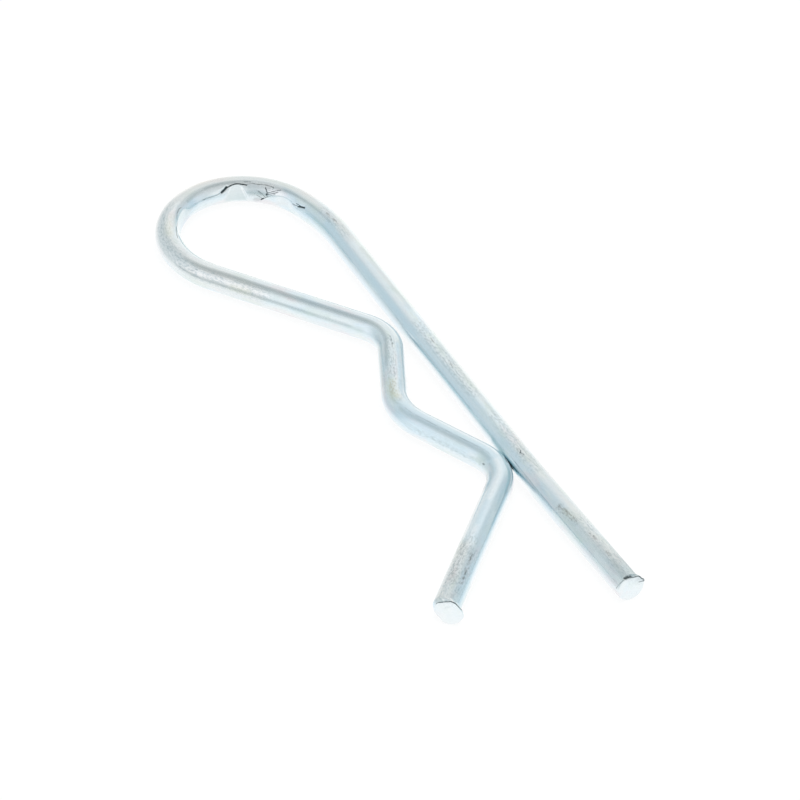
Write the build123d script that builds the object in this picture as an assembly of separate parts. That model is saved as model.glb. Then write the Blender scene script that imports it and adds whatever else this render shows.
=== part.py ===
"""Hitch R clip pin: one length of round spring wire, cropped at both ends and bent in one plane.

The straight leg goes through the cross hole of a shaft or hitch pin. The shaped leg comes back beside
it: a waist that almost closes the loop, a bow that wraps half of the shaft, a hump that presses on the
straight leg, and a flared tail that spreads the clip as it is pushed on.

Frame, in millimetres: the origin is the centre of the shaft that the bow holds. +X runs along the
straight leg, from the loop to its free end. +Z is square to the clip's plane. The shaped leg is on
the -Y side, and the wire's centre line lies in the plane Z = 0.
"""
from build123d import *
from math import cos, radians, sin
import os

# Wire
WIRE_DIAMETER = 4.0
WIRE_RADIUS = WIRE_DIAMETER / 2

# Straight leg: its free stretch is set outwards by a slight bend, just past the hump
FREE_STRETCH = 27.4
SET_ANGLE = 1.7
SET_RADIUS = 80.0
LEG_STRETCH = 60.0

# Loop: a gentle shoulder off the straight leg, then one round turn of more than half a circle
SHOULDER_ANGLE = 20.0
SHOULDER_RADIUS = 30.0
LOOP_ANGLE = 198.5
LOOP_RADIUS = 12.0

# Shaped leg: return stretch, waist, bow round the shaft, hump and tail
RETURN_STRETCH = 25.7
WAIST_ANGLE = 62.5
WAIST_RADIUS = 6.3
WAIST_STRETCH = 10.4
BOW_ANGLE = 50.5
BOW_RADIUS = 9.3
HUMP_ANGLE = 69.7
HUMP_RADIUS = 6.9
TAIL_STRETCH = 28.8

# Space left between the hump and the straight leg, which only just touch on the real clip
HUMP_CLEARANCE = 0.12

# Cropped ends: how long the smeared end is, how far the blade pushed it over, and how much it spread
CROP_LENGTH = 1.0
LEG_CROP_LEAN = 10.0
LEG_CROP_SHIFT = 0.10
TAIL_CROP_LEAN = 3.0
TAIL_CROP_SHIFT = 0.32
CROP_SPREAD = 0.08

# Positive bends turn left as seen from +Z, on the way from the free end, round the loop, to the tail
LEFT = 1
RIGHT = -1


class WireEnd:
    """A place on the centre line: where the wire has got to, and which way it heads."""

    def __init__(self, x, y, heading):
        self.x = x
        self.y = y
        self.heading = heading

    def along(self, length):
        """The place that a straight stretch leads to."""
        a = radians(self.heading)
        return WireEnd(self.x + length * cos(a), self.y + length * sin(a), self.heading)

    def beside(self, offset):
        """The point that lies to the left of the heading, or to its right when offset is negative."""
        a = radians(self.heading)
        return self.x - offset * sin(a), self.y + offset * cos(a)

    def bent(self, angle, radius):
        """The place that a bend leads to."""
        side = LEFT if angle > 0 else RIGHT
        centre_x, centre_y = self.beside(side * radius)
        turned = WireEnd(centre_x, centre_y, self.heading + angle)
        end_x, end_y = turned.beside(-side * radius)
        return WireEnd(end_x, end_y, self.heading + angle)

    def plane(self):
        """The plane square to the wire here, with its X along the clip's Z."""
        a = radians(self.heading)
        return Plane(origin=(self.x, self.y, 0), x_dir=(0, 0, 1), z_dir=(cos(a), sin(a), 0))


def hump_stretch(bow_end):
    """Length of the straight stretch that brings the hump's crest to the straight leg, less the gap."""
    rise = radians(bow_end.heading)
    crest_y = -(WIRE_DIAMETER + HUMP_CLEARANCE)
    arc_rise = HUMP_RADIUS * (1 - cos(rise))
    return (crest_y - arc_rise - bow_end.y) / sin(rise)


def bend_programme():
    """The wire's stretches and bends in order, and where its free end has to start."""
    leg_end = WireEnd(0, 0, 180).along(LEG_STRETCH)
    loop_end = leg_end.bent(SHOULDER_ANGLE, SHOULDER_RADIUS).bent(LOOP_ANGLE, LOOP_RADIUS)
    waist_end = loop_end.along(RETURN_STRETCH).bent(RIGHT * WAIST_ANGLE, WAIST_RADIUS)
    bow_start = waist_end.along(WAIST_STRETCH)
    bow_end = bow_start.bent(BOW_ANGLE, BOW_RADIUS)

    # The deepest point of the bow is where the wire runs level with the straight leg
    bow_bottom = bow_start.bent(360 - bow_start.heading % 360, BOW_RADIUS)
    start = WireEnd(-bow_bottom.x, 0, 0).bent(SET_ANGLE, SET_RADIUS).along(FREE_STRETCH)
    free_end = WireEnd(start.x, start.y, start.heading + 180)

    steps = [
        ("straight", FREE_STRETCH),
        ("bend", RIGHT * SET_ANGLE, SET_RADIUS),
        ("straight", LEG_STRETCH),
        ("bend", SHOULDER_ANGLE, SHOULDER_RADIUS),
        ("bend", LOOP_ANGLE, LOOP_RADIUS),
        ("straight", RETURN_STRETCH),
        ("bend", RIGHT * WAIST_ANGLE, WAIST_RADIUS),
        ("straight", WAIST_STRETCH),
        ("bend", BOW_ANGLE, BOW_RADIUS),
        ("straight", hump_stretch(bow_end)),
        ("bend", RIGHT * HUMP_ANGLE, HUMP_RADIUS),
        ("straight", TAIL_STRETCH),
    ]
    return free_end, steps


def straight_piece(place, length):
    """A straight cylinder of wire."""
    return extrude(place.plane() * Circle(WIRE_RADIUS), amount=length)


def bent_piece(place, angle, radius):
    """A stretch of wire bent round a former whose axis stands square to the clip."""
    side = LEFT if angle > 0 else RIGHT
    centre_x, centre_y = place.beside(side * radius)
    former = Axis((centre_x, centre_y, 0), (0, 0, side))
    return revolve(place.plane() * Circle(WIRE_RADIUS), axis=former, revolution_arc=abs(angle))


def cropped_end(place, lean, shift):
    """The last millimetre of a sheared wire, from place outwards.

    Its face leans back at the top, is smeared to the left of the heading, and is a little wider.
    """
    root = place.plane() * Circle(WIRE_RADIUS)
    face_plane = place.along(CROP_LENGTH).plane().rotated((0, -lean, 0))
    face = face_plane * Pos(0, -shift, 0) * Circle(WIRE_RADIUS + CROP_SPREAD)
    return loft([root, face])


def r_clip():
    """The whole wire: its bends and stretches joined end to end, and its two cropped ends."""
    place, steps = bend_programme()
    outwards = WireEnd(place.x, place.y, place.heading + 180)
    wire = cropped_end(outwards.along(-CROP_LENGTH), LEG_CROP_LEAN, LEG_CROP_SHIFT)

    place = place.along(CROP_LENGTH)
    steps[0] = ("straight", FREE_STRETCH - CROP_LENGTH)
    steps[-1] = ("straight", TAIL_STRETCH - CROP_LENGTH)
    for kind, *sizes in steps:
        if kind == "straight":
            wire += straight_piece(place, *sizes)
            place = place.along(*sizes)
        else:
            wire += bent_piece(place, *sizes)
            place = place.bent(*sizes)
    wire += cropped_end(place, TAIL_CROP_LEAN, TAIL_CROP_SHIFT)
    return wire


os.makedirs("parts", exist_ok=True)
clip = r_clip()
export_step(clip, "parts/r_clip.step")
print("r_clip volume", round(clip.volume, 1), "mm3, box", clip.bounding_box())
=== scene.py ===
"""Looks of the hitch R clip pin: a 4 mm spring wire that is bent in one plane, cropped and zinc plated.

The clip lies on a pale floor. Its frame is the CAD model's: the origin is the centre of the shaft that the
bow holds, +X runs along the straight leg to its free end, and +Z is square to the clip's plane.

A place on the wire's skin is given by two numbers. "Along" is the distance from the free end of the straight
leg, round the loop, to the tail. "Around" is the angle from the left side of that way, 90 degrees on top.
"""

import bpy
import numpy as np
from math import cos, pi, radians, sin
from mathutils import Matrix, Vector


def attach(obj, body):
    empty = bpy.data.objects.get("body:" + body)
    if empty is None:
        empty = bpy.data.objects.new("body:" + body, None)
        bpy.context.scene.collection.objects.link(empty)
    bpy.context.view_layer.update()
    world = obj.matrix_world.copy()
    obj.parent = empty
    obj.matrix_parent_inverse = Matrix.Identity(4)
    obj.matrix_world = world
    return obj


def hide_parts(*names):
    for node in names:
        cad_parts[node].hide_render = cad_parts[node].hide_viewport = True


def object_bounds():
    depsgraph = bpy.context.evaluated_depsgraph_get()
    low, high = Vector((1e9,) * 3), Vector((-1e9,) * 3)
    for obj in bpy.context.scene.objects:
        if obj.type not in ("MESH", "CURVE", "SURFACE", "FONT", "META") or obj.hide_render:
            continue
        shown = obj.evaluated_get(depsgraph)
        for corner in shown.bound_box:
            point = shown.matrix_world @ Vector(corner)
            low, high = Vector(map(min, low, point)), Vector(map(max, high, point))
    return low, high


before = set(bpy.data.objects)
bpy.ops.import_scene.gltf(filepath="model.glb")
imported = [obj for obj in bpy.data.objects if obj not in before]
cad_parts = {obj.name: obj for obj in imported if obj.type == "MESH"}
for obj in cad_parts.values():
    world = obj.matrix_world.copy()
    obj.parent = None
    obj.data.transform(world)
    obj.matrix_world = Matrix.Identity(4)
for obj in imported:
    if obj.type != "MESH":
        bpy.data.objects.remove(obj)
cad_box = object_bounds()

MM = 0.001

# Wire, in millimetres and degrees
WIRE_RADIUS = 2.0
FREE_STRETCH = 27.4
SET_ANGLE = 1.7
SET_RADIUS = 80.0
LEG_STRETCH = 60.0
SHOULDER_ANGLE = 20.0
SHOULDER_RADIUS = 30.0
LOOP_ANGLE = 198.5
LOOP_RADIUS = 12.0
RETURN_STRETCH = 25.7
WAIST_ANGLE = 62.5
WAIST_RADIUS = 6.3
WAIST_STRETCH = 10.4
BOW_ANGLE = 50.5
BOW_RADIUS = 9.3
HUMP_ANGLE = 69.7
HUMP_RADIUS = 6.9
HUMP_CLEARANCE = 0.12
TAIL_STRETCH = 28.8
LEFT = 1
RIGHT = -1

# Cropped ends: their last millimetre is smeared over to one side, and leans at the top
CROP_LENGTH = 1.0
LEG_CROP_LEAN = 3.0
LEG_CROP_SHIFT = 0.22
TAIL_CROP_LEAN = 0.0
TAIL_CROP_SHIFT = 0.58
CROP_SPREAD = 0.12

# End faces: a rounded rim and a slight dome, whose rings run in to a small last one that a cap closes
FACE_RIM = 0.10
FACE_DOME = 0.05
RIM_RINGS = 4
FACE_RINGS = 10
LAST_RING_SHARE = 0.02
# The finish of an end face fades in over this share of the radius
FACE_EDGE_SHARE = 0.04

# The blade flattens the rim of an end and raises burrs on it: angle round the wire, depth or height in
# millimetres, and half the width of a burr in degrees
DENT_LENGTH = 0.6
DENT_ROUNDING = 0.03
# How steeply a dent or burr starts. Above 1, it is full before it gets to the rim
DENT_STEEPNESS = 1.4
LEG_DENTS = [(88, 0.34)]
TAIL_DENTS = [(112, 0.24), (42, 0.14), (222, 0.30)]
LEG_BURRS = [(163, 0.22, 16)]
TAIL_BURRS = [(-6, 0.10, 26)]

# Mesh of the wire, whose rings lie closer at the ends and where there are small marks
SIDES = 112
RING_SPACING = 0.6
END_SPACING = 0.1
END_REACH = 2.5
FINE_STRETCHES = [
    (13.5, 19.0, 0.2), (29.5, 34.0, 0.2), (52.0, 60.5, 0.25), (91.0, 94.5, 0.25), (97.5, 103.8, 0.12),
    (103.8, 109.8, 0.08), (109.8, 121.0, 0.12), (121.0, 133.0, 0.16), (138.5, 141.0, 0.2),
    (173.5, 176.0, 0.2), (205.5, 211.0, 0.16), (228.0, 237.0, 0.2),
]

# Floor: it lies this far under the CAD model, whose ends spread a little less
FLOOR_DROP = 0.06
# It reaches this far from the middle, in metres
FLOOR_REACH = 2.0
# For the camera it glows, and a dark matt share of it takes the shadow
FLOOR_MATT = 0.15
FLOOR_GLOW = 0.88

# Soft round lamp overhead, in metres and watts
LAMP_SIZE = 0.5
LAMP_HEIGHT = 0.6
LAMP_POWER = 1.2

# Camera, fitted to the clip's outline in the photograph
CAMERA_TARGET = Vector((-2.246, -9.783, 0.0)) * MM
CAMERA_DISTANCE = 0.8
CAMERA_AZIMUTH = -60.277
CAMERA_ELEVATION = 38.5
CAMERA_ROLL = 4.254
CAMERA_LENS = 244.03
SENSOR_WIDTH = 36.0

# Colours of the plate and its marks, among them painted shade and painted reflections
ZINC = "#ECF6F8"
ZINC_BLUE = "#E2F1F9"
ZINC_WARM = "#EFF4F3"
ZINC_GREY = "#B9C9CE"
ZINC_GREEN = "#DCEBE4"
ZINC_ROSE = "#EEE7EB"
WARM_FILM = "#F3EEE8"
BLUE_FILM = "#D8EEF9"
# Painted reflection of the shaded gap between the hump and the straight leg
GAP_REFLECTION_TEAL = "#7DB4C2"
# Painted reflection of the white table and the bright walls
BRIGHT_REFLECTION_WHITE = "#FBFEFF"
END_FACE = "#F5FAFB"
YELLOW_FILM = "#E6E7CF"
# Dull film, and painted shade of darker reflection bands
DULL_FILM_AND_BAND_SHADE = "#93A2A4"
BURNISHED_ZINC = "#F3F8F8"
RUBBED_GREY = "#A09B96"
# Dirt, and painted shade in grooves, pits, the pinch and the ends' rims
GROOVE_DIRT_AND_SHADE = "#2E3C40"
FLOOR_WHITE = "#F4F5F5"

# Patterns of the plate, by their size across the wire in millimetres. Drawing lines are some 0.02 mm wide,
# too fine to show, so they are drawn coarser, and some 11 mm long
LINE_SIZE = 0.25
LINE_STRETCH = 45.0
# Grain of the plate is 0.05 mm or less, and is drawn coarser too
GRAIN_SIZE = 0.26
# Clouds of the passivation film, and its faint green and rose hues
CLOUD_SIZE = 1.3
WIDE_CLOUD_SIZE = 4.0
HUE_SIZE = 1.6
# Swells, since the wire itself is not dead straight or round
SWELL_SIZE = 3.0

# Depths of the patterns that can be felt, in millimetres
SWELL_DEPTH = 0.008
GRAIN_DEPTH = 0.003
LINE_DEPTH = 0.003

# Gloss of the plate: the film over it takes a little of the metal's mirror, and wear and the painted bands
# roughen it
PLATE_METALLIC = 0.9
SMOOTHEST = 0.14
ROUGHEST = 0.20
WEAR_ROUGHNESS = 0.4
# How far a burnished flat and an end face take on their own colours
BURNISHED_SHARE = 0.5
END_FACE_SHARE = 0.55

# Room colours at heights above the floor in degrees, from straight down to straight up
ROOM_COLOURS = [
    (-90, "#FDF9F8"), (-50, "#FCFAFA"), (-28, "#F5F7F9"), (-20, "#EFF2F4"), (-12, "#E3E8EA"),
    (-4, "#D2DBDD"), (6, "#C5D1D4"), (25, "#C6D0D4"), (45, "#C7CDCF"), (68, "#C2C5C6"), (90, "#BFC1C1"),
]
ROOM_STRENGTH = 1.10
# Panels on the walls, in degrees: turn from +X towards +Y, height, half width and softness of the edge
PANELS = [
    (-94, 25, 33, 16, "#F2F3F5"),
    (167, 12, 45, 8, "#EEEDEC"),
    (-147, 21, 39, 22, "#C9D1D4"),
    (71, 18, 21, 11, "#CDD8DF"),
    (7, 20, 28, 12, "#E8ECEC"),
    (145, -10, 24, 12, "#FFFDFA"),
]


def to_linear(hex_colour):
    """An sRGB hex colour as linear red, green, blue and alpha."""
    parts = [int(hex_colour[i:i + 2], 16) / 255 for i in (1, 3, 5)]
    linear = [p / 12.92 if p <= 0.04045 else ((p + 0.055) / 1.055) ** 2.4 for p in parts]
    return (*linear, 1.0)


def add_node(tree, kind, settings=None, inputs=None):
    """Adds a node, sets its properties, and gives each input a value or a link from another node."""
    node = tree.nodes.new(kind)
    for name, value in (settings or {}).items():
        setattr(node, name, value)
    for socket, value in (inputs or {}).items():
        if isinstance(value, bpy.types.NodeSocket):
            tree.links.new(value, node.inputs[socket])
        else:
            node.inputs[socket].default_value = value
    return node


class WireEnd:
    """A place on the centre line: where the wire has got to, and which way it heads."""

    def __init__(self, x, y, heading):
        self.x = x
        self.y = y
        self.heading = heading

    def along(self, length):
        """The place that a straight stretch leads to."""
        a = radians(self.heading)
        return WireEnd(self.x + length * cos(a), self.y + length * sin(a), self.heading)

    def beside(self, offset):
        """The point to the left of the heading, or to its right when offset is negative."""
        a = radians(self.heading)
        return self.x - offset * sin(a), self.y + offset * cos(a)

    def bent(self, angle, radius):
        """The place that a bend leads to."""
        side = LEFT if angle > 0 else RIGHT
        turned = WireEnd(*self.beside(side * radius), self.heading + angle)
        return WireEnd(*turned.beside(-side * radius), self.heading + angle)


def hump_stretch(bow_end):
    """Length of the stretch that brings the hump's crest up to the straight leg, less the gap."""
    rise = radians(bow_end.heading)
    crest_y = -(2 * WIRE_RADIUS + HUMP_CLEARANCE)
    arc_rise = HUMP_RADIUS * (1 - cos(rise))
    return (crest_y - arc_rise - bow_end.y) / sin(rise)


def bend_programme():
    """Where the wire's free end starts, and each stretch or bend as a length, a turn and a radius."""
    leg_end = WireEnd(0, 0, 180).along(LEG_STRETCH)
    loop_end = leg_end.bent(SHOULDER_ANGLE, SHOULDER_RADIUS).bent(LOOP_ANGLE, LOOP_RADIUS)
    waist_end = loop_end.along(RETURN_STRETCH).bent(RIGHT * WAIST_ANGLE, WAIST_RADIUS)
    bow_start = waist_end.along(WAIST_STRETCH)
    bow_end = bow_start.bent(BOW_ANGLE, BOW_RADIUS)
    bow_bottom = bow_start.bent(360 - bow_start.heading % 360, BOW_RADIUS)
    start = WireEnd(-bow_bottom.x, 0, 0).bent(SET_ANGLE, SET_RADIUS).along(FREE_STRETCH)

    steps = [(FREE_STRETCH, 0, 0)]
    steps += [bend(RIGHT * SET_ANGLE, SET_RADIUS), (LEG_STRETCH, 0, 0)]
    steps += [bend(SHOULDER_ANGLE, SHOULDER_RADIUS), bend(LOOP_ANGLE, LOOP_RADIUS), (RETURN_STRETCH, 0, 0)]
    steps += [bend(RIGHT * WAIST_ANGLE, WAIST_RADIUS), (WAIST_STRETCH, 0, 0)]
    steps += [bend(BOW_ANGLE, BOW_RADIUS), (hump_stretch(bow_end), 0, 0)]
    steps += [bend(RIGHT * HUMP_ANGLE, HUMP_RADIUS), (TAIL_STRETCH, 0, 0)]
    return WireEnd(start.x, start.y, start.heading + 180), steps


def bend(angle, radius):
    """A bend as its length on the centre line, its turn and its radius."""
    return radians(abs(angle)) * radius, angle, radius


class WirePath:
    """The wire's centre line, which can be asked for the place at any distance from the free end."""

    def __init__(self):
        place, self.steps = bend_programme()
        self.starts = [0.0]
        self.places = [place]
        for length, angle, radius in self.steps:
            place = place.bent(angle, radius) if angle else place.along(length)
            self.starts.append(self.starts[-1] + length)
            self.places.append(place)
        self.length = self.starts[-1]

    def step_at(self, along):
        """Number of the stretch or bend that holds a distance."""
        for number in range(len(self.steps)):
            if along <= self.starts[number + 1]:
                return number
        return len(self.steps) - 1

    def place(self, along):
        """The place at a distance. It goes on straight past both ends."""
        number = self.step_at(along)
        length, angle, radius = self.steps[number]
        done = along - self.starts[number]
        if angle:
            return self.places[number].bent(angle * done / length, radius)
        return self.places[number].along(done)


path = WirePath()


def ring_spacing(along):
    """Distance from a place to the next ring."""
    spacing = RING_SPACING
    if min(along, path.length - along) < END_REACH:
        spacing = END_SPACING
    for start, stop, fine in FINE_STRETCHES:
        if start <= along <= stop:
            spacing = fine
    return spacing


def face_rings():
    """Rings of an end face, from its rim inwards, as how far each stands out and its share of the radius."""
    rings = []
    for i in range(1, RIM_RINGS + 1):
        turn = pi / 2 * i / RIM_RINGS
        rings.append((FACE_RIM * sin(turn), 1 - FACE_RIM / WIRE_RADIUS * (1 - cos(turn))))
    flat_share = rings[-1][1]
    for i in range(1, FACE_RINGS + 1):
        share = flat_share * (1 - (1 - LAST_RING_SHARE) * i / FACE_RINGS)
        rings.append((FACE_RIM + FACE_DOME * (1 - (share / flat_share) ** 2), share))
    return rings


def ring_places():
    """Each ring's distance along the wire, and the share of the wire's radius that it has."""
    face = face_rings()
    rings = [(-out, share) for out, share in reversed(face)]
    along = 0.0
    while along < path.length - END_SPACING / 2:
        rings.append((along, 1.0))
        along += ring_spacing(along)
    rings.append((path.length, 1.0))
    rings += [(path.length + out, share) for out, share in face]
    return rings


def rail_mesh(rings):
    """The centre line as a chain of edges, with each ring's distance and share stored on its point."""
    points = []
    for along, share in rings:
        place = path.place(along)
        points.append((place.x * MM, place.y * MM, 0.0))
    mesh = bpy.data.meshes.new("wire_rail")
    mesh.from_pydata(points, [(i, i + 1) for i in range(len(points) - 1)], [])
    for name, column in (("along", 0), ("share", 1)):
        values = mesh.attributes.new(name, "FLOAT", "POINT")
        values.data.foreach_set("value", [ring[column] for ring in rings])
    return mesh


def sweep_tree():
    """Geometry nodes that sweep a round section along a rail."""
    tree = bpy.data.node_groups.new("wire_sweep", "GeometryNodeTree")
    tree.interface.new_socket("Rail", in_out="INPUT", socket_type="NodeSocketGeometry")
    tree.interface.new_socket("Wire radius", in_out="INPUT", socket_type="NodeSocketFloat")
    tree.interface.new_socket("Sides", in_out="INPUT", socket_type="NodeSocketInt")
    tree.interface.new_socket("Finish", in_out="INPUT", socket_type="NodeSocketMaterial")
    tree.interface.new_socket("Wire", in_out="OUTPUT", socket_type="NodeSocketGeometry")
    given = add_node(tree, "NodeGroupInput").outputs

    share = add_node(tree, "GeometryNodeInputNamedAttribute", {"data_type": "FLOAT"}, {"Name": "share"})
    rail = add_node(tree, "GeometryNodeMeshToCurve", None, {"Mesh": given["Rail"]})
    upright = add_node(tree, "GeometryNodeSetCurveNormal", {"mode": "Z_UP"}, {"Curve": rail.outputs[0]})
    section = add_node(tree, "GeometryNodeCurvePrimitiveCircle", None,
                       {"Resolution": given["Sides"], "Radius": given["Wire radius"]})
    wire = add_node(tree, "GeometryNodeCurveToMesh", None,
                    {"Curve": upright.outputs[0], "Profile Curve": section.outputs["Curve"],
                     "Scale": share.outputs["Attribute"], "Fill Caps": True})
    smooth = add_node(tree, "GeometryNodeSetShadeSmooth", None, {"Geometry": wire.outputs[0]})
    real = add_node(tree, "GeometryNodeRealizeInstances", None, {"Geometry": smooth.outputs[0]})
    coated = add_node(tree, "GeometryNodeSetMaterial", None,
                      {"Geometry": real.outputs[0], "Material": given["Finish"]})
    add_node(tree, "NodeGroupOutput", None, {"Wire": coated.outputs[0]})
    return tree


def plain_mesh(mesh, tree, inputs, name):
    """Runs a geometry node tree on a mesh, with its inputs set by name, and returns a plain object."""
    carrier = bpy.data.objects.new(name + "_carrier", mesh)
    bpy.context.collection.objects.link(carrier)
    modifier = carrier.modifiers.new("sweep", "NODES")
    modifier.node_group = tree
    for item in tree.interface.items_tree:
        if item.name in inputs:
            modifier[item.identifier] = inputs[item.name]
    graph = bpy.context.evaluated_depsgraph_get()
    made = bpy.data.meshes.new_from_object(carrier.evaluated_get(graph))
    bpy.data.objects.remove(carrier)
    piece = bpy.data.objects.new(name, made)
    bpy.context.collection.objects.link(piece)
    return piece


# Marks of tooling and wear, and of painted shade and painted reflections. Each has its points as
# (along, around), its width in millimetres and its strength. A third number in a point is its distance
# from the wire's axis, for a mark on an end face.
DARK_MARKS = [
    # Gouges and scratches where the former dragged on the inside of the loop, painted dark for the dirt in
    # them and the shade of their steps
    ([(97.9, 39), (98.5, 34), (99.1, 28)], 0.27, 0.85),
    ([(98.7, 36), (99.8, 35)], 0.16, 0.6),
    ([(99.1, 27), (100.4, 24)], 0.2, 0.55),
    ([(104.9, 57), (105.4, 62), (106.4, 63), (107.2, 62), (108.0, 60), (108.6, 63)], 0.15, 0.62),
    ([(108.6, 63), (109.0, 60), (109.5, 57)], 0.15, 0.5),
    ([(109.6, 53), (110.2, 56), (111.4, 60), (112.1, 56), (112.9, 48)], 0.2, 0.9),
    ([(109.0, 70), (110.0, 69)], 0.22, 0.5),
    ([(113.1, 50), (113.6, 39), (114.2, 30)], 0.36, 0.95),
    ([(114.2, 30), (115.3, 22), (116.3, 22), (117.5, 24), (118.4, 25)], 0.18, 0.5),
    ([(118.4, 25), (120.0, 29), (121.5, 31)], 0.16, 0.3),
    ([(103.6, 58), (104.8, 42), (105.8, 28)], 0.15, 0.7),
    ([(103.9, 44), (105.0, 30), (106.0, 18)], 0.15, 0.72),
    ([(104.3, 32), (105.7, 10)], 0.15, 0.6),
    ([(105.0, 62), (106.2, 42)], 0.13, 0.5),
    ([(106.3, 50), (105.8, 30), (105.9, 18)], 0.16, 0.8),
    ([(106.1, 8), (106.7, 20), (107.5, 32)], 0.13, 0.55),
    ([(105.6, 14), (106.5, -4)], 0.15, 0.7),
    ([(106.4, -4), (107.0, 4), (107.6, 10)], 0.14, 0.6),
    ([(106.8, 14), (107.9, 36)], 0.12, 0.38),
    ([(105.8, 30), (106.0, 24)], 0.18, 0.6),
    ([(104.9, 50), (106.1, 34)], 0.13, 0.5),
    ([(106.35, 0), (106.8, -9)], 0.24, 0.8),
    ([(123.5, 60), (124.2, 64), (125.4, 62), (126.5, 56), (127.3, 44)], 0.2, 0.45),
    ([(127.3, 44), (128.2, 46), (129.5, 54), (131.2, 62), (132.4, 66)], 0.2, 0.48),
    # Pits and nicks, painted dark for the shade in them
    ([(139.0, 150), (139.7, 138), (140.4, 122)], 0.2, 0.32),
    ([(206.5, 155), (207.0, 151)], 0.22, 0.55),
    ([(209.4, 111), (210.0, 110)], 0.2, 0.25),
    ([(174.0, 90), (175.3, 88)], 0.18, 0.4),
    ([(30.3, 85), (30.9, 79)], 0.16, 0.6),
    ([(31.4, 86), (30.9, 79), (30.8, 73)], 0.16, 0.68),
    ([(16.6, 64), (17.4, 55)], 0.25, 0.3),
    ([(229.8, 68), (230.8, 64), (231.8, 66)], 0.18, 0.36),
    ([(233.4, 62), (234.2, 60), (235.8, 57)], 0.18, 0.36),
    ([(186.5, 106), (186.9, 103)], 0.2, 0.3),
    # Thin dark lines along the waist and the bow
    ([(172.5, 100), (174.0, 92), (176.0, 90)], 0.16, 0.45),
    ([(178.0, 91), (181.0, 90), (184.0, 88)], 0.14, 0.38),
    ([(190.0, 107), (200.0, 106), (206.5, 104)], 0.16, 0.3),
    # Painted shade in the pinch between the hump and the straight leg
    ([(30.0, 3), (31.5, 7), (33.0, 3)], 0.32, 0.95),
    ([(207.4, 46), (208.2, 48)], 0.4, 0.6),
    # Painted shadow in the groove behind the lip of the straight leg's end, and in a fold of its face
    ([(0.42, 8), (0.2, 30), (0.06, 46), (0.1, 62)], 0.15, 0.55),
    ([(0.1, 62), (0.15, 75), (0.0, 92)], 0.18, 0.7),
    ([(0.0, 92, 1.98), (-0.06, 110, 1.96), (-0.08, 130, 1.96), (-0.08, 150, 1.96), (-0.06, 166, 2.0)],
     0.18, 0.6),
    ([(0.28, 63), (0.2, 90)], 0.4, 0.66),
    ([(-0.1, 166, 1.95), (-0.12, 152, 1.3)], 0.17, 0.65),
]
# Painted shadow in the groove round the rim of the tail's end, as marks whose distances are counted back
# from its end
TAIL_DARK_MARKS = [
    ([(0.05, 152), (0.0, 130), (0.0, 110), (0.0, 85)], 0.17, 0.75),
    ([(0.0, 85), (0.0, 68), (0.02, 50), (0.1, 30), (0.35, 12)], 0.18, 0.8),
    ([(0.35, 12), (0.9, -4), (1.5, -12)], 0.16, 0.35),
]
# Small places where the plate is rubbed down to grey
RUBBED_MARKS = [
    ([(14.3, 72), (16.0, 66), (18.3, 54)], 0.7, 0.6),
    ([(9.3, 84), (10.8, 79)], 0.45, 0.8),
    ([(5.4, 82), (6.4, 84)], 0.4, 0.65),
    ([(30.3, 80), (32.2, 80)], 0.45, 0.3),
    ([(52.6, 86), (54.0, 85)], 0.3, 0.5),
    ([(58.0, 85), (60.0, 90)], 0.3, 0.5),
    ([(91.2, 84), (92.3, 86)], 0.3, 0.65),
    ([(92.8, 84), (94.2, 86)], 0.3, 0.65),
    ([(184.6, 104), (186.4, 108)], 0.7, 0.4),
    ([(228.5, 120), (232.0, 112), (236.5, 104)], 1.2, 0.35),
    ([(229.4, 68), (236.4, 59)], 0.45, 0.55),
]
# Patches where the plate is grainy; elsewhere it is smooth
GRAINY_PATCHES = [
    ([(0.5, 100), (5.0, 100)], 2.6, 0.9),
    ([(0.5, 95), (14.0, 95)], 2.4, 0.6),
    ([(14.0, 66), (18.0, 56)], 1.2, 0.8),
    ([(27.0, 92), (40.0, 96)], 1.9, 0.85),
    ([(46.0, 84), (64.0, 88)], 1.7, 0.85),
    ([(88.0, 84), (95.0, 84)], 1.4, 0.7),
    ([(123.0, 112), (136.0, 122)], 2.2, 0.6),
    ([(137.0, 140), (151.0, 148)], 1.8, 0.9),
    ([(174.0, 98), (188.0, 102)], 1.6, 0.7),
    ([(227.0, 110), (240.5, 100)], 2.6, 1.0),
    ([(229.0, 66), (238.0, 62)], 1.2, 1.0),
    ([(192.0, 168), (206.0, 166)], 0.9, 0.45),
]
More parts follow.
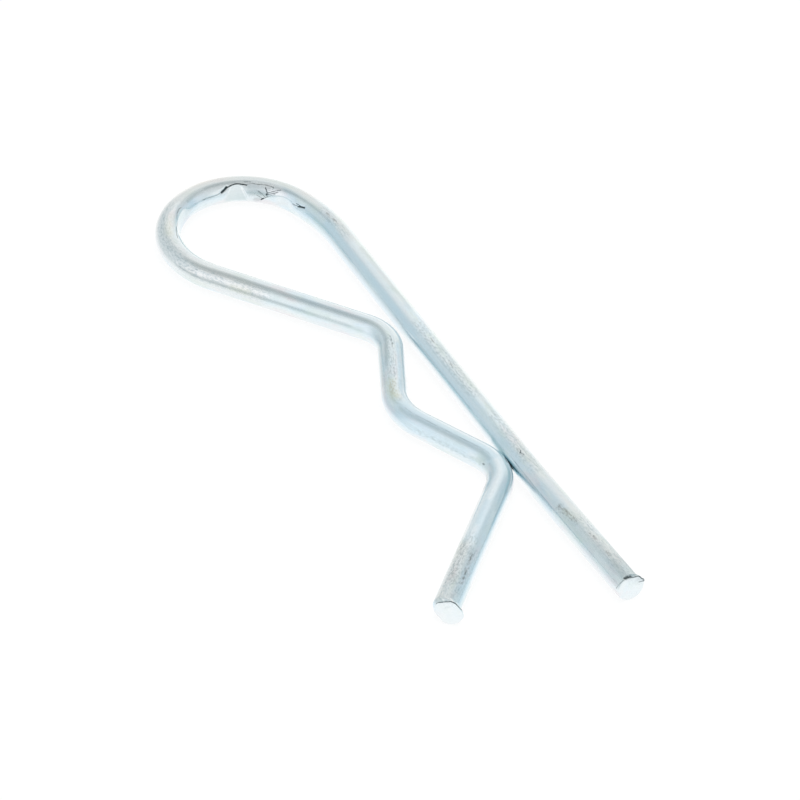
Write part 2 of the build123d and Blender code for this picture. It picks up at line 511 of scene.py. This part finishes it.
# Streaks and patches painted darker and greyer. The thin streaks that run along the wire at one angle
# round it are painted shade of darker reflection bands; the patches in the loop's scraped zone and at the
# straight leg's tip are dull film
DULL_FILM_AND_SHADED_BANDS = [
    ([(92.0, 66), (98.5, 66), (105.0, 62)], 0.4, 0.28),
    ([(98.5, 66), (103.0, 64)], 0.4, 0.4),
    ([(109.6, 70), (115.0, 69), (121.5, 58)], 0.45, 0.3),
    ([(111.6, 69), (117.0, 67)], 0.45, 0.46),
    ([(4.0, 92), (36.0, 104)], 1.8, 0.1),
    ([(87.0, 92), (104.0, 98), (122.0, 98)], 1.7, 0.12),
    ([(123.5, 116), (127.0, 128), (132.0, 124), (137.0, 118)], 1.2, 0.16),
    ([(105.8, 48), (109.2, 46)], 0.6, 0.15),
    ([(106.4, 20), (108.8, 18)], 1.0, 0.3),
    ([(107.2, -8), (107.8, -14)], 0.9, 0.35),
    ([(0.8, 82), (4.0, 80)], 1.4, 0.4),
    ([(0.8, 82), (8.0, 80)], 1.4, 0.24),
    ([(0.8, 112), (5.0, 112)], 1.4, 0.3),
    ([(0.8, 138), (4.0, 140)], 1.8, 0.56),
    ([(0.8, 138), (9.0, 140)], 1.8, 0.36),
    ([(8.0, 66), (15.0, 66)], 0.6, 0.18),
    ([(8.0, 48), (24.0, 46)], 0.7, 0.12),
    ([(184.0, 66), (191.0, 68)], 0.5, 0.12),
    ([(68.0, 104), (84.0, 104)], 0.8, 0.16),
    ([(137.0, 116), (146.0, 110), (156.0, 113), (170.0, 111), (180.0, 122)], 0.62, 0.36),
    ([(137.0, 161), (150.0, 160), (158.0, 158)], 0.4, 0.36),
    ([(156.0, 159), (165.5, 157)], 0.4, 0.22),
    ([(190.0, 124), (207.0, 121)], 0.6, 0.2),
    ([(210.0, 178), (214.0, 150)], 1.2, 0.25),
    ([(208.0, 130), (215.0, 124)], 0.5, 0.2),
    ([(172.0, 150), (184.0, 148)], 1.0, 0.18),
    ([(6.0, 125), (30.0, 125)], 1.8, 0.16),
    ([(40.0, 104), (58.0, 104)], 0.7, 0.15),
    ([(98.0, 104), (114.0, 104)], 0.7, 0.18),
    ([(229.0, 88), (240.0, 88)], 1.2, 0.2),
]
# Painted reflection: the film is painted almost white where the plate mirrors the white table and the
# bright walls
BRIGHT_REFLECTION_MARKS = [
    ([(26.0, -20), (62.0, -20)], 2.4, 0.9),
    ([(60.0, -20), (94.0, -20)], 2.2, 0.4),
    ([(40.0, 2), (62.0, 2)], 1.1, 0.9),
    ([(66.0, 15), (90.0, 18)], 0.9, 0.4),
    ([(36.0, 51), (62.0, 52)], 0.6, 0.3),
    ([(54.0, 71), (90.0, 70)], 0.55, 0.5),
    ([(166.0, 58), (172.0, 35), (180.0, 28), (190.0, 42), (206.0, 52)], 1.3, 0.9),
    ([(142.0, 60), (168.0, 60)], 0.9, 0.6),
    ([(110.5, 45), (119.0, 40)], 1.8, 0.9),
    ([(103.5, 34), (108.5, 34)], 1.4, 0.75),
    ([(136.0, 140), (152.0, 142)], 1.0, 0.6),
    ([(167.0, 50), (171.0, 38), (176.0, 28)], 0.9, 1.0),
    ([(104.0, 66), (112.0, 68)], 1.0, 0.6),
    ([(119.0, 138), (138.0, 138)], 1.8, 0.9),
    ([(208.0, 98), (217.0, 98)], 0.9, 0.5),
    ([(215.0, 138), (226.0, 136)], 1.3, 0.8),
    ([(214.0, 5), (234.0, 5)], 1.2, 0.8),
    ([(224.0, 105), (232.0, 105)], 0.8, 0.5),
    ([(190.0, 56), (201.0, 60)], 1.0, 0.7),
]
# Film of a stronger pale blue
BLUE_TINTS = [
    ([(34.0, 35), (60.0, 42), (92.0, 48)], 1.8, 0.7),
    ([(66.0, -10), (94.0, -6)], 1.8, 0.5),
    ([(114.0, 18), (121.0, 30)], 1.4, 0.5),
    ([(190.0, 95), (206.0, 100), (226.0, 90)], 2.0, 0.7),
    ([(214.0, 30), (240.0, 30)], 0.6, 0.7),
    ([(175.0, 66), (190.0, 68)], 0.6, 0.7),
    ([(190.0, 150), (202.0, 150)], 1.5, 0.6),
]
# Painted reflection: deep teal, painted where the plate mirrors the shaded gap between the hump and the
# straight leg
GAP_REFLECTION_MARKS = [
    ([(19.0, 22), (26.0, 19)], 0.45, 0.2),
    ([(24.0, 20), (28.0, 14), (30.0, 8)], 0.5, 0.42),
    ([(27.0, 16), (30.0, 8)], 0.4, 0.65),
    ([(30.0, 22), (36.0, 24), (62.0, 22)], 0.4, 0.3),
    ([(28.5, 10), (31.5, 12), (34.0, 6)], 0.5, 0.9),
    ([(33.0, 8), (36.5, 20)], 0.7, 0.5),
    ([(205.8, 54), (207.0, 62), (209.0, 62)], 0.45, 0.6),
    ([(208.8, 62), (210.0, 55), (212.0, 48), (214.5, 42)], 0.45, 0.6),
    ([(211.0, 56), (216.0, 52), (219.0, 48)], 0.5, 0.22),
    ([(83.0, 26), (97.0, 30)], 0.5, 0.22),
    ([(213.0, 42), (222.0, 38)], 0.35, 0.3),
]
# Film of a faintly warm white
WARM_TINTS = [
    ([(4.0, 92), (36.0, 104)], 1.9, 0.3),
    ([(87.0, 92), (104.0, 98), (122.0, 98)], 1.7, 0.35),
    ([(119.0, 104), (137.0, 108)], 0.9, 0.5),
    ([(116.0, 125), (124.0, 130), (136.0, 140), (150.0, 150)], 2.6, 0.7),
    ([(228.0, 125), (240.0, 125)], 1.6, 0.6),
]
# Spots of yellowed film
YELLOW_TINTS = [
    ([(145.8, 158), (148.6, 156)], 0.9, 0.5),
    ([(184.0, 112), (187.4, 108)], 1.3, 0.7),
    ([(127.0, 80), (131.0, 96)], 1.4, 0.3),
    ([(15.0, 66), (17.0, 60)], 0.7, 0.3),
]

# The film's tints and the painted reflections, in the order in which they lie over each other, by the
# names they are stored under
FILM_TINTS_AND_REFLECTIONS = [
    ("warm_tints", WARM_FILM), ("blue_tints", BLUE_FILM), ("bright_reflection_paint", BRIGHT_REFLECTION_WHITE),
    ("gap_reflection_paint", GAP_REFLECTION_TEAL),
]

# Flats that the former pressed into the inside of the loop: from and to along the wire, how softly it
# starts and stops, the angle that it faces, its depth, how far its edges are rounded, and how much shorter
# it gets for each radian towards the top
FLATS = [
    (98.6, 105.9, 3.0, 8, 0.22, 0.14, 1.0),
    (109.4, 113.6, 0.7, 13, 0.50, 0.03, 0.9),
    (121.0, 133.0, 2.5, 16, 0.34, 0.12, 0.0),
]
# The film is burnished where a flat is at least this deep, in millimetres
BURNISHED_DEPTH = 0.15
# A flat is worked out no further round the wire than this cosine, past which it doesn't cut
LEAST_SLANT = 0.05
# Gouges, as marks with a depth in millimetres
GOUGES = [
    ([(98.1, 37), (98.7, 31), (99.4, 26)], 0.45, 0.10),
    ([(113.0, 51), (113.5, 40), (114.3, 28)], 0.45, 0.16),
    ([(114.3, 28), (115.3, 21), (117.5, 24)], 0.25, 0.03),
    ([(104.0, 50), (104.9, 37), (105.6, 22), (106.2, 10), (106.7, -4)], 0.16, 0.012),
    ([(104.6, 62), (105.2, 50), (105.8, 34), (106.3, 22), (106.9, 8)], 0.16, 0.012),
    ([(123.5, 60), (124.2, 64), (125.4, 62), (126.5, 56), (127.3, 44), (129.5, 54), (131.2, 62)],
     0.25, 0.04),
    ([(206.4, 155), (207.0, 151)], 0.3, 0.03),
]


def read_attribute(mesh, name):
    """A number stored on each point of a mesh, as an array."""
    values = np.zeros(len(mesh.vertices))
    mesh.attributes[name].data.foreach_get("value", values)
    return values


def store_numbers(mesh, name, values):
    """Stores a number on each point of a mesh."""
    mesh.attributes.new(name, "FLOAT", "POINT").data.foreach_set("value", values)


def read_points(mesh):
    """The points of a mesh in millimetres."""
    points = np.zeros(len(mesh.vertices) * 3)
    mesh.vertices.foreach_get("co", points)
    return points.reshape(-1, 3) / MM


def smooth_step(value):
    """Eases a number from 0 to 1."""
    clipped = np.clip(value, 0.0, 1.0)
    return clipped * clipped * (3.0 - 2.0 * clipped)


def skin_point(along, around, reach=WIRE_RADIUS):
    """A place on the wire's skin, on the straight wire before it was bent."""
    return np.array([along, reach * cos(radians(around)), reach * sin(radians(around))])


def distance_to_line(points, line):
    """Distance from each point to a line of straight pieces."""
    nearest = np.full(len(points), np.inf)
    for start, end in zip(line[:-1], line[1:]):
        run = end - start
        share = np.clip((points - start) @ run / (run @ run), 0.0, 1.0)
        away = np.linalg.norm(points - start - share[:, None] * run, axis=1)
        nearest = np.minimum(nearest, away)
    return nearest


def mark_field(drawn, marks):
    """How strongly each point lies in a set of marks."""
    field = np.zeros(len(drawn))
    for points, width, strength in marks:
        line = [skin_point(*point) for point in points]
        field = np.maximum(field, strength * smooth_step(1.0 - distance_to_line(drawn, line) / width))
    return field


def from_tail(marks):
    """Turns marks that count back from the tail's end into marks that count from the free end."""
    return [([(path.length - along, *rest) for along, *rest in points], width, strength)
            for points, width, strength in marks]


def flat_cut(around, facing, depth, rounding):
    """How deep a flat of a depth cuts into the round wire, with its edges rounded off."""
    slant = np.maximum(np.cos(around - radians(facing)), LEAST_SLANT)
    cut = WIRE_RADIUS - (WIRE_RADIUS - depth) / slant
    eased = np.maximum(cut + rounding, 0.0) ** 2 / (4.0 * rounding)
    return np.where(cut > rounding, cut, eased)


def flat_depth(along, around):
    """How deep the pressed flats of the loop lie below the round wire at each point."""
    depth = np.zeros_like(along)
    for start, stop, softness, facing, most, rounding, splay in FLATS:
        inset = splay * (around - radians(facing))
        begun = smooth_step((along - start - inset) / softness)
        not_over = smooth_step((stop - inset - along) / softness)
        window = begun * not_over
        depth = np.maximum(depth, window * flat_cut(around, facing, most * window, rounding))
    return depth


def end_relief(from_end, around, dents, burrs):
    """Height of a cropped end's skin over the round wire: its dents and its burrs."""
    window = smooth_step((DENT_LENGTH - from_end) / DENT_LENGTH * DENT_STEEPNESS)
    relief = np.zeros_like(around)
    for facing, depth in dents:
        relief = np.minimum(relief, -window * flat_cut(around, facing, depth * window, DENT_ROUNDING))
    for centre, height, half_width in burrs:
        away = np.degrees(np.arccos(np.clip(np.cos(around - radians(centre)), -1.0, 1.0)))
        relief += height * window * smooth_step(1.0 - away / half_width)
    return relief


def wire_frames(along):
    """The centre line's point at each distance, and the directions ahead and to the left there."""
    ring_distances, ring_of_point = np.unique(along, return_inverse=True)
    places = [path.place(distance) for distance in ring_distances]
    headings = np.radians([place.heading for place in places])[ring_of_point]
    centres = np.array([(place.x, place.y, 0.0) for place in places])[ring_of_point]
    ahead = np.stack([np.cos(headings), np.sin(headings), np.zeros_like(headings)], axis=1)
    left = np.stack([-np.sin(headings), np.cos(headings), np.zeros_like(headings)], axis=1)
    return centres, ahead, left


def skin_relief(drawn, along, around, flats):
    """Height of the worked skin over the round wire: dents and burrs of the ends, flats and gouges."""
    from_end = np.minimum(along, path.length - along)
    relief = np.where(along > path.length / 2, end_relief(from_end, around, TAIL_DENTS, TAIL_BURRS),
                      end_relief(from_end, around, LEG_DENTS, LEG_BURRS)) - flats
    for gouge, width, depth in GOUGES:
        line = [skin_point(*point) for point in gouge]
        relief -= depth * smooth_step(1.0 - distance_to_line(drawn, line) / width)
    return relief


def shape_wire(piece):
    """Gives the swept wire its cropped ends, flats and gouges.

    Returns each point's place on the straight wire before it was bent, how far it is burnished in a flat,
    and how far it is on an end face.
    """
    mesh = piece.data
    along = read_attribute(mesh, "along")
    share = read_attribute(mesh, "share")
    centres, ahead, left = wire_frames(along)
    up = np.array([0.0, 0.0, 1.0])
    offset = read_points(mesh) - centres
    around = np.arctan2(offset @ up, (offset * left).sum(axis=1))
    radius = WIRE_RADIUS * share
    drawn = np.stack([along, radius * np.cos(around), radius * np.sin(around)], axis=1)
    flats = flat_depth(along, around)

    # Crop: the last millimetre spreads, is pushed over to one side, and its face leans back at the top
    at_tail = along > path.length / 2
    crop = smooth_step(1.0 - np.minimum(along, path.length - along) / CROP_LENGTH)
    lean = np.where(at_tail, -TAIL_CROP_LEAN, LEG_CROP_LEAN)
    shift = np.where(at_tail, TAIL_CROP_SHIFT, -LEG_CROP_SHIFT)
    reach = radius + share * (skin_relief(drawn, along, around, flats) + CROP_SPREAD * crop)
    sideways = reach * np.cos(around) + shift * crop
    height = reach * np.sin(around)
    pushed = crop * height * np.tan(np.radians(lean))

    shaped = centres + left * sideways[:, None] + ahead * pushed[:, None] + up * height[:, None]
    mesh.vertices.foreach_set("co", (shaped * MM).ravel())
    mesh.update()
    return drawn, smooth_step(flats / BURNISHED_DEPTH), smooth_step((1.0 - share) / FACE_EDGE_SHARE)


def build_wire():
    """The whole clip as one closed mesh, with its marks stored on its points."""
    inputs = {"Wire radius": WIRE_RADIUS * MM, "Sides": SIDES, "Finish": bright_zinc_plate()}
    piece = plain_mesh(rail_mesh(ring_places()), sweep_tree(), inputs, "spring_wire")
    drawn, burnished, end_face = shape_wire(piece)
    mesh = piece.data
    place = mesh.attributes.new("drawn_place", "FLOAT_VECTOR", "POINT")
    place.data.foreach_set("vector", (drawn * MM).ravel())
    fields = {
        "dark_marks": DARK_MARKS + from_tail(TAIL_DARK_MARKS), "rubbed_marks": RUBBED_MARKS,
        "dull_film_and_band_shade": DULL_FILM_AND_SHADED_BANDS, "grainy_patches": GRAINY_PATCHES, "bright_reflection_paint": BRIGHT_REFLECTION_MARKS,
        "blue_tints": BLUE_TINTS, "gap_reflection_paint": GAP_REFLECTION_MARKS, "warm_tints": WARM_TINTS,
        "yellow_tints": YELLOW_TINTS,
    }
    for name, marks in fields.items():
        store_numbers(mesh, name, mark_field(drawn, marks))
    store_numbers(mesh, "burnished", burnished)
    store_numbers(mesh, "end_face", end_face)
    return piece


def noise(tree, place, size_mm, stretch=1.0, detail=3.0, roughness=0.55, seed=0.0):
    """A noise with features of a size in millimetres, drawn out along the wire by a stretch."""
    scaled = add_node(tree, "ShaderNodeMapping", None,
                      {"Vector": place, "Location": (seed, seed, seed), "Scale": (1 / stretch, 1.0, 1.0)})
    return add_node(tree, "ShaderNodeTexNoise", None,
                    {"Vector": scaled.outputs[0], "Scale": 1 / (size_mm * MM), "Detail": detail,
                     "Roughness": roughness}).outputs["Fac"]


def ranged(tree, value, low, high, to_low=0.0, to_high=1.0):
    """A number eased from one range to another."""
    return add_node(tree, "ShaderNodeMapRange", {"interpolation_type": "SMOOTHSTEP"},
                    {"Value": value, "From Min": low, "From Max": high, "To Min": to_low,
                     "To Max": to_high}).outputs[0]


def maths(tree, operation, first, second):
    """One step of arithmetic on two numbers."""
    return add_node(tree, "ShaderNodeMath", {"operation": operation}, {0: first, 1: second}).outputs[0]


def tinted(tree, share, colour, over):
    """A colour laid over another by a share."""
    return add_node(tree, "ShaderNodeMix", {"data_type": "RGBA"}, {0: share, 6: colour, 7: over}).outputs[2]


def stored(tree, name):
    """A number that is stored on the wire's points."""
    return add_node(tree, "ShaderNodeAttribute", {"attribute_name": name}).outputs["Fac"]


def plate_patterns(tree):
    """The noises of the wire and its plate, laid on the straight wire before it was bent."""
    drawn = add_node(tree, "ShaderNodeAttribute", {"attribute_name": "drawn_place"}).outputs["Vector"]
    return {
        "lines": noise(tree, drawn, LINE_SIZE, stretch=LINE_STRETCH, detail=2.0),
        "clouds": noise(tree, drawn, CLOUD_SIZE, stretch=3.0, detail=4.0, seed=0.3),
        "wide_clouds": noise(tree, drawn, WIDE_CLOUD_SIZE, stretch=2.5, detail=2.0, seed=0.7),
        "hues": noise(tree, drawn, HUE_SIZE, stretch=3.0, detail=2.0, seed=0.9),
        "grain": noise(tree, drawn, GRAIN_SIZE, stretch=2.2, detail=4.0, roughness=0.6, seed=0.1),
        "swells": noise(tree, drawn, SWELL_SIZE, stretch=2.0, detail=1.0, seed=0.5),
    }


def clean_film(tree, patterns):
    """Colour of the passivation film: pale blue, cloudy, with faint hues, its tints and the painted
    reflections laid over them.
    """
    clouds = ranged(tree, patterns["clouds"], 0.35, 0.65)
    wide_clouds = ranged(tree, patterns["wide_clouds"], 0.35, 0.7, 0.0, 0.6)
    hues = patterns["hues"]
    film = tinted(tree, clouds, to_linear(ZINC_BLUE), to_linear(ZINC))
    film = tinted(tree, wide_clouds, film, to_linear(ZINC_WARM))
    film = tinted(tree, ranged(tree, hues, 0.52, 0.72, 0.0, 0.5), film, to_linear(ZINC_GREEN))
    film = tinted(tree, ranged(tree, hues, 0.48, 0.28, 0.0, 0.5), film, to_linear(ZINC_ROSE))
    for name, colour in FILM_TINTS_AND_REFLECTIONS:
        # Warm and blue tints of the film, then painted reflections: white of the table and walls, teal of
        # the shaded gap
        film = tinted(tree, stored(tree, name), film, to_linear(colour))
    return film


def grained_film(tree, film, patterns):
    """The film over grey grain and drawing lines, which show in patches and hardly elsewhere."""
    grainy = ranged(tree, stored(tree, "grainy_patches"), 0.0, 0.8, 0.16, 1.0)
    grain_share = maths(tree, "MULTIPLY", ranged(tree, patterns["grain"], 0.40, 0.72, 0.0, 0.75), grainy)
    film = tinted(tree, grain_share, film, to_linear(ZINC_GREY))
    line_share = maths(tree, "MULTIPLY", ranged(tree, patterns["lines"], 0.48, 0.75, 0.0, 0.35), grainy)
    return tinted(tree, line_share, film, to_linear(ZINC_GREY))


def worked_film(tree, film, grain):
    """The film where tools and handling changed it: burnished flats, pale end faces and yellowed spots."""
    burnished = maths(tree, "MULTIPLY", stored(tree, "burnished"), BURNISHED_SHARE)
    film = tinted(tree, burnished, film, to_linear(BURNISHED_ZINC))
    end_face = maths(tree, "MULTIPLY", stored(tree, "end_face"), END_FACE_SHARE)
    film = tinted(tree, end_face, film, to_linear(END_FACE))
    spotted = ranged(tree, grain, 0.35, 0.6, 0.4, 1.0)
    yellowed = maths(tree, "MULTIPLY", stored(tree, "yellow_tints"), spotted)
    return tinted(tree, yellowed, film, to_linear(YELLOW_FILM))


def dirt_and_shade_share(tree, grain):
    """How far the dark of dirt and of painted shade covers the scratches, grooves, pits, the pinch and the
    ends' rims, whose edges the grain makes ragged.
    """
    dark = stored(tree, "dark_marks")
    uneven = maths(tree, "MULTIPLY", maths(tree, "SUBTRACT", grain, 0.5), 0.5)
    ragged = maths(tree, "ADD", dark, uneven)
    return maths(tree, "MULTIPLY", ranged(tree, ragged, 0.12, 0.75), ranged(tree, dark, 0.02, 0.1))


def plate_relief(tree, patterns):
    """The normal over the wire's swells, the grain and the drawing lines, each laid on the one before."""
    before = {}
    for name, depth in (("swells", SWELL_DEPTH), ("grain", GRAIN_DEPTH), ("lines", LINE_DEPTH)):
        bump = add_node(tree, "ShaderNodeBump", None,
                        {"Strength": 1.0, "Distance": depth * MM, "Height": patterns[name], **before})
        before = {"Normal": bump.outputs[0]}
    return bump.outputs[0]


def bright_zinc_plate():
    """Bright zinc electroplate on hard drawn spring steel, with a clear blue passivation.

    The eye sees a pale, slightly blue metal that mirrors softly. The plate is cloudy and faintly grainy, the
    drawing lines of the wire show through it, and tools left dark scratches and grey rubbed patches.
    Shade in grooves, pits and the pinch, darker reflection bands and some reflections are painted into its
    colour.
    """
    material = bpy.data.materials.new("bright_zinc_plate")
    material.use_nodes = True
    tree = material.node_tree
    tree.nodes.clear()
    patterns = plate_patterns(tree)
    grain = patterns["grain"]
    dull_and_band_shade = stored(tree, "dull_film_and_band_shade")
    rubbed = maths(tree, "MULTIPLY", stored(tree, "rubbed_marks"), ranged(tree, grain, 0.38, 0.66))

    film = grained_film(tree, clean_film(tree, patterns), patterns)
    film = worked_film(tree, film, grain)
    # Dull film, and painted shade of darker reflection bands
    film = tinted(tree, dull_and_band_shade, film, to_linear(DULL_FILM_AND_BAND_SHADE))
    film = tinted(tree, rubbed, film, to_linear(RUBBED_GREY))
    # Dirt, and painted shade in grooves, pits, the pinch and the ends' rims
    film = tinted(tree, dirt_and_shade_share(tree, grain), film, to_linear(GROOVE_DIRT_AND_SHADE))

    dull_and_rubbed = maths(tree, "MULTIPLY", maths(tree, "ADD", rubbed, dull_and_band_shade), WEAR_ROUGHNESS)
    roughness = maths(tree, "ADD", ranged(tree, patterns["clouds"], 0.3, 0.7, SMOOTHEST, ROUGHEST), dull_and_rubbed)
    shader = add_node(tree, "ShaderNodeBsdfPrincipled", None,
                      {"Base Color": film, "Metallic": PLATE_METALLIC, "Roughness": roughness,
                       "Normal": plate_relief(tree, patterns)})
    add_node(tree, "ShaderNodeOutputMaterial", None, {"Surface": shader.outputs[0]})
    return material


def build_camera():
    """The photograph's view, with its slight roll."""
    data = bpy.data.cameras.new("camera")
    data.lens = CAMERA_LENS
    data.sensor_width = SENSOR_WIDTH
    camera = bpy.data.objects.new("camera", data)
    bpy.context.collection.objects.link(camera)
    azimuth = radians(CAMERA_AZIMUTH)
    elevation = radians(CAMERA_ELEVATION)
    back = Vector((-sin(azimuth) * cos(elevation), -cos(azimuth) * cos(elevation), sin(elevation)))
    right = (-back).cross(Vector((0, 0, 1))).normalized()
    up = right.cross(-back)
    roll = radians(CAMERA_ROLL)
    camera_x = right * cos(roll) + up * sin(roll)
    camera_y = up * cos(roll) - right * sin(roll)
    camera.matrix_world = Matrix.Translation(CAMERA_TARGET + back * CAMERA_DISTANCE) @ Matrix(
        (camera_x, camera_y, back)).transposed().to_4x4()
    bpy.context.scene.camera = camera


def sky_direction(turn, height):
    """A direction, turned from +X towards +Y and raised above the floor, in degrees."""
    return (cos(radians(height)) * cos(radians(turn)), cos(radians(height)) * sin(radians(turn)),
            sin(radians(height)))


def build_room():
    """A plain pale room: a white table below, grey-blue walls with soft white panels, and a grey ceiling."""
    world = bpy.data.worlds.new("room")
    bpy.context.scene.world = world
    world.use_nodes = True
    tree = world.node_tree
    tree.nodes.clear()
    direction = add_node(tree, "ShaderNodeTexCoord").outputs["Generated"]
    parts = add_node(tree, "ShaderNodeSeparateXYZ", None, {"Vector": direction})
    angle = add_node(tree, "ShaderNodeMath", {"operation": "ARCSINE"}, {0: parts.outputs["Z"]})
    height = add_node(tree, "ShaderNodeMapRange", None,
                      {"Value": angle.outputs[0], "From Min": -pi / 2, "From Max": pi / 2})
    ramp = add_node(tree, "ShaderNodeValToRGB", None, {"Fac": height.outputs[0]})
    stops = ramp.color_ramp.elements
    for i, (elevation, colour) in enumerate(ROOM_COLOURS):
        stop = stops[i] if i < 2 else stops.new(1.0)
        stop.position = (elevation + 90) / 180
        stop.color = to_linear(colour)
    room = ramp.outputs[0]
    for turn, elevation, half_width, softness, colour in PANELS:
        facing = add_node(tree, "ShaderNodeVectorMath", {"operation": "DOT_PRODUCT"},
                          {0: direction, 1: sky_direction(turn, elevation)})
        away = add_node(tree, "ShaderNodeMath", {"operation": "ARCCOSINE"}, {0: facing.outputs["Value"]})
        outer = radians(half_width + softness)
        inner = radians(half_width - softness)
        inside = ranged(tree, away.outputs[0], outer, inner)
        room = tinted(tree, inside, room, to_linear(colour))
    lit = add_node(tree, "ShaderNodeBackground", None, {"Color": room, "Strength": ROOM_STRENGTH})
    white = add_node(tree, "ShaderNodeBackground", None, {"Color": (1, 1, 1, 1), "Strength": 1.0})
    ray = add_node(tree, "ShaderNodeLightPath")
    seen = add_node(tree, "ShaderNodeMixShader", None,
                    {0: ray.outputs["Is Camera Ray"], 1: lit.outputs[0], 2: white.outputs[0]})
    add_node(tree, "ShaderNodeOutputWorld", None, {"Surface": seen.outputs[0]})


def build_lamp():
    """A soft lamp overhead, which the wire doesn't mirror."""
    lamp_data = bpy.data.lights.new("overhead", "AREA")
    lamp_data.shape = "DISK"
    lamp_data.size = LAMP_SIZE
    lamp_data.energy = LAMP_POWER
    lamp = bpy.data.objects.new("overhead", lamp_data)
    bpy.context.collection.objects.link(lamp)
    lamp.location = (0.0, 0.0, LAMP_HEIGHT)
    lamp.visible_glossy = False


def floor_white():
    """White table top. It glows for the camera, so only its shadow shows, and mirrored rays pass through."""
    material = bpy.data.materials.new("floor_white")
    material.use_nodes = True
    tree = material.node_tree
    tree.nodes.clear()
    matt = add_node(tree, "ShaderNodeBsdfDiffuse", None, {"Color": (FLOOR_MATT, FLOOR_MATT, FLOOR_MATT, 1)})
    glow = add_node(tree, "ShaderNodeEmission", None, {"Color": (1, 1, 1, 1), "Strength": FLOOR_GLOW})
    both = add_node(tree, "ShaderNodeAddShader", None, {0: matt.outputs[0], 1: glow.outputs[0]})
    plain = add_node(tree, "ShaderNodeBsdfDiffuse", None, {"Color": to_linear(FLOOR_WHITE)})
    through = add_node(tree, "ShaderNodeBsdfTransparent")
    ray = add_node(tree, "ShaderNodeLightPath")
    unseen = add_node(tree, "ShaderNodeMixShader", None,
                      {0: ray.outputs["Is Glossy Ray"], 1: plain.outputs[0], 2: through.outputs[0]})
    seen = add_node(tree, "ShaderNodeMixShader", None,
                    {0: ray.outputs["Is Camera Ray"], 1: unseen.outputs[0], 2: both.outputs[0]})
    add_node(tree, "ShaderNodeOutputMaterial", None, {"Surface": seen.outputs[0]})
    return material


def build_floor():
    """A white floor just under the clip."""
    mesh = bpy.data.meshes.new("floor")
    corners = [(-1, -1), (1, -1), (1, 1), (-1, 1)]
    level = cad_box[0].z - FLOOR_DROP * MM
    mesh.from_pydata([(x * FLOOR_REACH, y * FLOOR_REACH, level) for x, y in corners], [], [(0, 1, 2, 3)])
    mesh.materials.append(floor_white())
    floor = bpy.data.objects.new("floor", mesh)
    bpy.context.collection.objects.link(floor)


bpy.context.scene.view_settings.view_transform = "Standard"
build_camera()
build_room()
build_lamp()
build_floor()
wire = build_wire()
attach(wire, "root")
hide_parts("r_clip")
